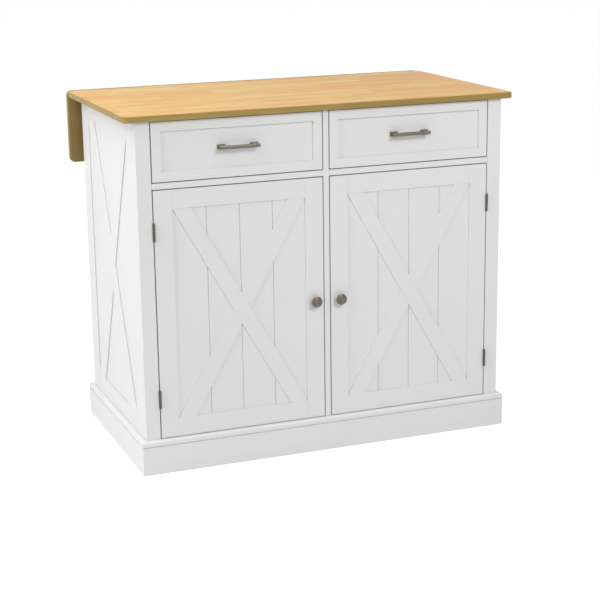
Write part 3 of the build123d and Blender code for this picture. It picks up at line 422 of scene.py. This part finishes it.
def metalFinish(name, look):
    finish, tree, shader, coords = newFinish(name)
    if look["latheMiddle"]:
        lay = roundMiddle(tree, coords, look["latheMiddle"])
    else:
        lay = placeNode(tree, "ShaderNodeMapping", (-1350, 0),
                        {"Vector": coords, "Rotation": look["turn"]}).outputs[0]
    marks = useGroup(tree, brushedMarks, (-1100, 100),
                     {"Vector": lay, "Fine": look["fine"], "Smudge": look["smudge"]})
    edge = edgeWearAndHighlightMask(tree, coords, look)
    brushed = blendColours(tree, spread(tree, marks["Marks"], *noiseRange, 0.0, 1.0, (-800, 250)),
                           look["light"], look["dark"], (-500, 250))
    stains = spread(tree, marks["Smudges"], *look["stainRange"], 0.0, look["stainShow"], (-800, 0))
    stained = blendColours(tree, stains, brushed, look["stain"], (-250, 200))
    # Painted highlight: the edges turn lighter towards the edge colour
    rubbedAndHighlit = blendColours(tree, maths(tree, "MULTIPLY", edge, look["edgeWearAndHighlightShow"], (-500, -100)),
                          stained, look["edgeWearAndHighlightColour"], (0, 150))
    tree.links.new(rubbedAndHighlit, shader.inputs["Base Color"])
    rough = spread(tree, marks["Smudges"], *noiseRange, *look["roughness"], (-250, -150))
    tree.links.new(rough, shader.inputs["Roughness"])
    shader.inputs["Metallic"].default_value = 1.0
    if look["latheMiddle"]:  # turned on a lathe round the Y axis, so highlights run out from the middle
        around = placeNode(tree, "ShaderNodeTangent", (650, -600), direction_type="RADIAL", axis="Y")
        tree.links.new(around.outputs[0], shader.inputs["Tangent"])
        shader.inputs["Anisotropic"].default_value = 1.0
        shader.inputs["Anisotropic Rotation"].default_value = 0.25  # a quarter turn
    bumpInto(tree, shader, marks["Marks"], look)
    return finish


handleNickelLook = {
    "turn": (0, 0, 0), "latheMiddle": None, "fine": 900.0, "smudge": 70.0,
    "light": (0.25, 0.218, 0.178, 1), "dark": (0.158, 0.137, 0.107, 1),
    "stain": (0.12, 0.104, 0.082, 1), "stainShow": 0.5, "stainRange": (0.5, 0.75),
    # The lighter edge colour is a painted highlight on the rims of all the metals
    "edgeWearAndHighlightColour": (0.46, 0.42, 0.37, 1), "edgeWidth": 0.0007, "edgeWearAndHighlightShow": 0.6, "edgePatches": 0.5,
    "roughness": (0.24, 0.38), "bump": 0.25, "bumpDepth": 0.00005,
}
knobLow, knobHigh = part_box("door_right_knob")
turnedNickelLook = dict(
    handleNickelLook, latheMiddle=(knobLow + knobHigh) / 2, fine=2200.0, smudge=240.0,
    light=(0.26, 0.222, 0.185, 1), dark=(0.15, 0.125, 0.10, 1), roughness=(0.36, 0.50), bump=0.15)
hingeNickelLook = dict(
    handleNickelLook, turn=(0, math.radians(90), 0), light=(0.155, 0.135, 0.108, 1),
    dark=(0.10, 0.086, 0.066, 1), stain=(0.07, 0.06, 0.045, 1), roughness=(0.34, 0.48))
zincSteelLook = dict(
    handleNickelLook, turn=(0, 0, math.radians(90)), fine=500.0, smudge=140.0,
    light=(0.66, 0.67, 0.69, 1), dark=(0.52, 0.53, 0.55, 1), stain=(0.45, 0.46, 0.47, 1), stainShow=0.6,
    edgeWearAndHighlightColour=(0.75, 0.76, 0.78, 1), edgeWidth=0.0005, edgeWearAndHighlightShow=0.5, roughness=(0.28, 0.42), bump=0.2)

finishes = {
    "white_paint": paintedFinish("satinWhitePaint", whitePaintLook),
    "inner_board": paintedFinish("whiteFacedBoard", innerBoardLook),
    "catch_plastic": paintedFinish("catchPlastic", catchPlasticLook),
    "oiled_wood": woodenFinish("honeyBoards", topBoardsLook),
    "handle_nickel": metalFinish("warmNickel", handleNickelLook),
    "hinge_nickel": metalFinish("hingeNickel", hingeNickelLook),
    "zinc_steel": metalFinish("zincPlate", zincSteelLook),
}
boardedPanel = paintedFinish("boardedPanelPaint", boardedPanelLook)
rimGrainAndShade = woodenFinish("honeyBoardRimGrainAndShade", rimGrainAndShadeLook)
leafBoards = woodenFinish("leafBoards", leafBoardsLook)
leafRimGrainAndShade = woodenFinish("leafBoardRimGrainAndShade", leafRimGrainAndShadeLook)
turnedNickel = metalFinish("turnedNickel", turnedNickelLook)

slotOfNode = {}
for name, part in nodes.items():
    slotOfNode[name] = part.material_slots[0].material.name
    for materialSlot in part.material_slots:
        materialSlot.material = finishes[slotOfNode[name]]
print("finishes on every part")


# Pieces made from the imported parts, with their edges eased

def closedRuns(mesh):  # the faces of each solid in a part, found where their edges close on one another
    runs, run, loose = [], [], set()
    for face in mesh.polygons:
        run.append(face.index)
        corners = [tuple(round(c * 1e6) for c in mesh.vertices[i].co) for i in face.vertices]
        for a, b in zip(corners, corners[1:] + corners[:1]):
            if a == b:
                continue
            if (b, a) in loose:
                loose.discard((b, a))
            else:
                loose.add((a, b))
        if not loose:
            runs.append(run)
            run = []
    if run:
        runs.append(run)
    return runs


def finishMesh(meshName, bm, materials, sharpAngle=38, evened=True):
    mesh = bpy.data.meshes.new(meshName)
    bm.to_mesh(mesh)
    bm.free()
    for material in materials:
        mesh.materials.append(material)
    mesh.polygons.foreach_set("use_smooth", [True] * len(mesh.polygons))
    mesh.set_sharp_from_angle(angle=math.radians(sharpAngle))
    piece = bpy.data.objects.new(meshName, mesh)
    bpy.context.scene.collection.objects.link(piece)
    if evened:
        even = piece.modifiers.new("evenNormals", "WEIGHTED_NORMAL")
        even.keep_sharp = True
    return piece


def settle(piece, body, replaced):  # rides and stands for a part
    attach(piece, body)
    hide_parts(replaced)


mergeLimits = {"apart": 2e-6, "shortest": 1e-6, "flat": 0.5}  # two lengths and an angle in degrees


def mergedCopy(mesh, run):  # one solid of a part, with its triangles joined up
    bm = bmesh.new()
    bm.from_mesh(mesh)
    bm.faces.ensure_lookup_table()
    kept = set(run)
    bmesh.ops.delete(bm, geom=[f for f in bm.faces if f.index not in kept], context="FACES")
    bmesh.ops.remove_doubles(bm, verts=bm.verts[:], dist=mergeLimits["apart"])
    bmesh.ops.dissolve_degenerate(bm, edges=bm.edges[:], dist=mergeLimits["shortest"])
    bmesh.ops.dissolve_limit(bm, angle_limit=math.radians(mergeLimits["flat"]),
                             use_dissolve_boundaries=False, verts=bm.verts[:], edges=bm.edges[:])
    return bm


def easeCorners(bm, ease, leaveSharp):
    corners = []
    for edge in bm.edges:
        if len(edge.link_faces) != 2 or edge.calc_length() < ease["shortest"]:
            continue
        if edge.calc_face_angle_signed() < math.radians(ease["angle"]):
            continue
        a, b = edge.verts[0].co, edge.verts[1].co
        if leaveSharp and leaveSharp(a, b):
            continue
        corners.append(edge)
    if corners:
        bmesh.ops.bevel(bm, geom=corners, offset=ease["width"], offset_type="OFFSET", affect="EDGES",
                        segments=ease["segments"], profile=0.5, material=-1, clamp_overlap=True)


def easedPiece(pieceName, nodeName, ease, leaveSharp=None, materials=None):
    source = nodes[nodeName]
    whole = bmesh.new()
    for run in closedRuns(source.data):
        part = mergedCopy(source.data, run)
        easeCorners(part, ease, leaveSharp)
        scratch = bpy.data.meshes.new("scratch")
        part.to_mesh(scratch)
        part.free()
        whole.from_mesh(scratch)
        bpy.data.meshes.remove(scratch)
    slotName = slotOfNode[nodeName]
    piece = finishMesh(pieceName, whole, materials or [finishes[slotName]])
    settle(piece, source["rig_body"], nodeName)


boardEase = {"width": 0.0007, "segments": 2, "shortest": 0.009, "angle": 30}
thinEase = dict(boardEase, width=0.0004)
postEase = dict(boardEase, width=0.0016, segments=3)
postSeam = {"y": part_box("side_trim_left")[0].y, "sideFrom": 0.48, "slack": 1e-5}


def onPostSeam(a, b):  # where the front posts meet the planted side frame, filled before painting
    return all(abs(p.y - postSeam["y"]) < postSeam["slack"] and abs(p.x) > postSeam["sideFrom"]
               for p in (a, b))


easedPiece("front_posts", "front_stiles", postEase, onPostSeam)
for side in ("left", "right"):
    easedPiece(f"side_frame_{side}", f"side_trim_{side}", boardEase, onPostSeam)
    easedPiece(f"{side}_side_board", f"side_panel_{side}", thinEase)
easedPiece("middle_wall", "centre_partition", boardEase)
easedPiece("rails_under_drawers", "mid_rails", boardEase)
for name in ("front", "rear", "sides"):
    easedPiece(f"base_{name}", f"plinth_{name}", boardEase)
print("carcass eased")

for side in ("left", "right"):
    for part in ("stiles", "rails", "cross"):
        easedPiece(f"{side}_door_{part}", f"door_{side}_{part}", thinEase)
    easedPiece(f"{side}_door_panel", f"door_{side}_panel", thinEase, materials=[boardedPanel])
    easedPiece(f"{side}_drawer_face", f"drawer_{side}_front_panel", thinEase)
    for part in ("sides", "back"):
        easedPiece(f"{side}_drawer_box_{part}", f"drawer_{side}_{part}", thinEase)
    easedPiece(f"{side}_shelf_board", f"shelf_{side}", boardEase)
print("doors and drawer boxes eased")


# Drawer frames: one closed frame, its corners filled, planted round each drawer's face

drawerFrameLook = dict(boardEase, strip=0.0235, width=0.0006)


def makeDrawerFrame(side):
    low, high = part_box(f"drawer_{side}_front_frame")
    size, middle = high - low, (low + high) / 2
    bm = bmesh.new()
    bmesh.ops.create_cube(bm, size=1.0)
    bmesh.ops.scale(bm, vec=size, verts=bm.verts[:])
    bmesh.ops.translate(bm, vec=middle, verts=bm.verts[:])
    bm.normal_update()
    openings = [f for f in bm.faces if abs(f.normal.y) > 0.9]
    for face in openings:  # the front and rear faces shrink, and the strips grow round them
        bmesh.ops.inset_region(bm, faces=[face], thickness=drawerFrameLook["strip"], use_even_offset=True)
    rims = [e for f in openings for e in f.edges]
    bmesh.ops.delete(bm, geom=openings, context="FACES_ONLY")
    bmesh.ops.bridge_loops(bm, edges=rims)
    bmesh.ops.recalc_face_normals(bm, faces=bm.faces[:])
    bend = math.radians(drawerFrameLook["angle"])
    corners = [e for e in bm.edges if len(e.link_faces) == 2 and e.calc_face_angle() > bend
               and min(e.verts[0].co.y, e.verts[1].co.y) < middle.y]
    bmesh.ops.bevel(bm, geom=corners, offset=drawerFrameLook["width"], offset_type="OFFSET", affect="EDGES",
                    segments=drawerFrameLook["segments"], profile=0.5, material=-1, clamp_overlap=True)
    piece = finishMesh(f"{side}_drawer_frame", bm, [finishes["white_paint"]])
    settle(piece, f"drawer_{side}", f"drawer_{side}_front_frame")


for side in ("left", "right"):
    makeDrawerFrame(side)
print("drawer frames made")


# Worktop and leaf: boards on the face, a darker rim and underside, partly darker edge grain and partly
# painted shade

def woodenPiece(pieceName, nodeName, boards, rim, faceUp):
    source = nodes[nodeName]
    bm = mergedCopy(source.data, [f.index for f in source.data.polygons])
    bm.normal_update()
    for face in bm.faces:
        # Faces not turned to faceUp take the darker rim copy: painted shade on the sides and underside, with
        # darker edge grain
        face.material_index = 0 if face.normal.dot(faceUp) > 0.8 else 1
    piece = finishMesh(pieceName, bm, [boards, rim], sharpAngle=50)
    settle(piece, source["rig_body"], nodeName)


woodenPiece("top_board", "worktop", finishes["oiled_wood"], rimGrainAndShade, Vector((0, 0, 1)))
woodenPiece("leaf_board", "drop_leaf", leafBoards, leafRimGrainAndShade, Vector((0, 1, 0)))
print("worktop and leaf made")


# Knobs and pulls

knobLook = {  # each point of the outline is a radius and a distance out from the door
    "outline": [(0.0065, 0.0), (0.0065, 0.0014), (0.0060, 0.0021), (0.0049, 0.0036), (0.0045, 0.0055),
                (0.0046, 0.0080), (0.0058, 0.0101), (0.0090, 0.0118), (0.0125, 0.0128), (0.0141, 0.0133),
                (0.0145, 0.0140), (0.0145, 0.0149), (0.0139, 0.0155), (0.0130, 0.0157), (0.0127, 0.01552),
                (0.0124, 0.0157), (0.0006, 0.0179), (0.0, 0.01799)],
    "steps": 64,
}
pullEase = dict(boardEase, width=0.0005, segments=3, shortest=0.002)


def makeKnob(side):
    low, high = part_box(f"door_{side}_knob")
    centre = Vector(((low.x + high.x) / 2, high.y, (low.z + high.z) / 2))
    bm = bmesh.new()
    points = [bm.verts.new((centre.x + radius, centre.y - out, centre.z))
              for radius, out in knobLook["outline"]]
    for a, b in zip(points, points[1:]):
        bm.edges.new((a, b))
    bmesh.ops.spin(bm, geom=bm.verts[:] + bm.edges[:], cent=centre, axis=(0, 1, 0), dvec=(0, 0, 0),
                   angle=math.tau, steps=knobLook["steps"], use_merge=True, use_duplicate=False)
    bmesh.ops.remove_doubles(bm, verts=bm.verts[:], dist=1e-6)
    rim = [e for e in bm.edges if e.is_boundary]
    bmesh.ops.holes_fill(bm, edges=rim, sides=0)
    bmesh.ops.recalc_face_normals(bm, faces=bm.faces[:])
    piece = finishMesh(f"{side}_knob", bm, [turnedNickel], sharpAngle=30, evened=False)
    settle(piece, f"door_{side}", f"door_{side}_knob")


for side in ("left", "right"):
    makeKnob(side)
    easedPiece(f"{side}_pull", f"drawer_{side}_pull", pullEase)
print("knobs and pulls made")


# Floor, world, lamps and camera

studioLook = {
    "floorSize": 60.0, "floorShown": (0.32, 0.32, 0.32, 1), "floorGlow": 0.865,
    "floorBounce": (0.80, 0.80, 0.80, 1), "toothScale": 30.0, "toothShade": 0.99,
    "ambient": (1.0, 1.0, 1.0, 1), "ambientStrength": 0.42,
    "lamps": [
        {"name": "keyPanel", "place": (0.7, -2.9, 2.5), "aim": (1.6, 0, 0.5), "size": 1.0, "power": 42.0},
        {"name": "overheadPanel", "place": (-1.6, -0.1, 2.5), "aim": (-1.1, 0, 0.5), "size": 1.6,
         "power": 25.0},
        {"name": "leftPanel", "place": (-3.3, -0.7, 1.8), "aim": (0, 0, 0.9), "size": 2.4, "power": 37.0},
    ],
}


def shownRays(tree):  # rays that see the background as it is: from the camera, in metal and through glass
    rays = placeNode(tree, "ShaderNodeLightPath", (-900, 300)).outputs
    both = maths(tree, "MAXIMUM", rays["Is Camera Ray"], rays["Is Glossy Ray"], (-650, 300))
    return maths(tree, "MAXIMUM", both, rays["Is Transmission Ray"], (-400, 300))


def makeFloor():
    bm = bmesh.new()
    bmesh.ops.create_grid(bm, x_segments=4, y_segments=4, size=studioLook["floorSize"] / 2)
    floor = bpy.data.objects.new("studio_floor", bpy.data.meshes.new("studio_floor"))
    bm.to_mesh(floor.data)
    bm.free()
    bpy.context.scene.collection.objects.link(floor)
    paper = bpy.data.materials.new("palePaper")
    paper.use_nodes = True
    tree = paper.node_tree
    tree.nodes.clear()
    coords = placeNode(tree, "ShaderNodeTexCoord", (-1200, -100)).outputs["Object"]
    tooth = noiseOn(tree, coords, studioLook["toothScale"], 3.0, 0.6, (-900, -100))
    lowTone = tuple(c * studioLook["toothShade"] for c in studioLook["floorShown"][:3]) + (1,)
    shownTone = blendColours(tree, tooth, studioLook["floorShown"], lowTone, (-650, -100))
    shown = placeNode(tree, "ShaderNodeBsdfDiffuse", (-400, 0), {"Color": shownTone})
    glow = placeNode(tree, "ShaderNodeEmission", (-400, -200),
                     {"Color": (1, 1, 1, 1), "Strength": studioLook["floorGlow"]})
    both = placeNode(tree, "ShaderNodeAddShader", (-150, -50), {0: shown.outputs[0], 1: glow.outputs[0]})
    bounce = placeNode(tree, "ShaderNodeBsdfDiffuse", (-150, 150), {"Color": studioLook["floorBounce"]})
    mix = placeNode(tree, "ShaderNodeMixShader", (100, 100),
                    {0: shownRays(tree), 1: bounce.outputs[0], 2: both.outputs[0]})
    output = placeNode(tree, "ShaderNodeOutputMaterial", (350, 100))
    tree.links.new(mix.outputs[0], output.inputs[0])
    floor.data.materials.append(paper)


def makeWorld():
    world = bpy.data.worlds.new("paleStudio")
    bpy.context.scene.world = world
    world.use_nodes = True
    tree = world.node_tree
    tree.nodes.clear()
    ambient = placeNode(tree, "ShaderNodeBackground", (-150, 100),
                        {"Color": studioLook["ambient"], "Strength": studioLook["ambientStrength"]})
    backdrop = placeNode(tree, "ShaderNodeBackground", (-150, -100),
                         {"Color": (1, 1, 1, 1), "Strength": 1.0})
    mix = placeNode(tree, "ShaderNodeMixShader", (100, 0),
                    {0: shownRays(tree), 1: ambient.outputs[0], 2: backdrop.outputs[0]})
    output = placeNode(tree, "ShaderNodeOutputWorld", (350, 0))
    tree.links.new(mix.outputs[0], output.inputs[0])


def makeLamps():
    for look in studioLook["lamps"]:
        lamp = bpy.data.lights.new(look["name"], "AREA")
        lamp.shape, lamp.size, lamp.energy = "SQUARE", look["size"], look["power"]
        holder = bpy.data.objects.new(look["name"], lamp)
        bpy.context.scene.collection.objects.link(holder)
        holder.location = look["place"]
        aim = Vector(look["aim"]) - Vector(look["place"])
        holder.rotation_euler = aim.to_track_quat("-Z", "Y").to_euler()


cameraLook = {"place": (-1.4752, -3.8978, 1.4206), "yaw": -0.36918, "pitch": -0.25492,
              "roll": -0.01405, "sensor": 36.0, "lens": 94.083, "clip": (0.1, 100.0)}


def makeCamera():
    yaw, pitch, roll = cameraLook["yaw"], cameraLook["pitch"], cameraLook["roll"]
    ahead = Vector((-math.sin(yaw) * math.cos(pitch), math.cos(yaw) * math.cos(pitch), math.sin(pitch)))
    level = Vector((math.cos(yaw), math.sin(yaw), 0))
    upward = level.cross(ahead)
    across = level * math.cos(roll) + upward * math.sin(roll)
    upright = upward * math.cos(roll) - level * math.sin(roll)
    camera = bpy.data.objects.new("studioCamera", bpy.data.cameras.new("studioCamera"))
    bpy.context.scene.collection.objects.link(camera)
    camera.data.sensor_width, camera.data.lens = cameraLook["sensor"], cameraLook["lens"]
    camera.data.clip_start, camera.data.clip_end = cameraLook["clip"]
    turn = Matrix((across, upright, -ahead)).transposed().to_4x4()
    camera.matrix_world = Matrix.Translation(cameraLook["place"]) @ turn
    bpy.context.scene.camera = camera


makeFloor()
makeWorld()
makeLamps()
makeCamera()
bpy.context.scene.view_settings.view_transform = "Standard"
print("studio ready")
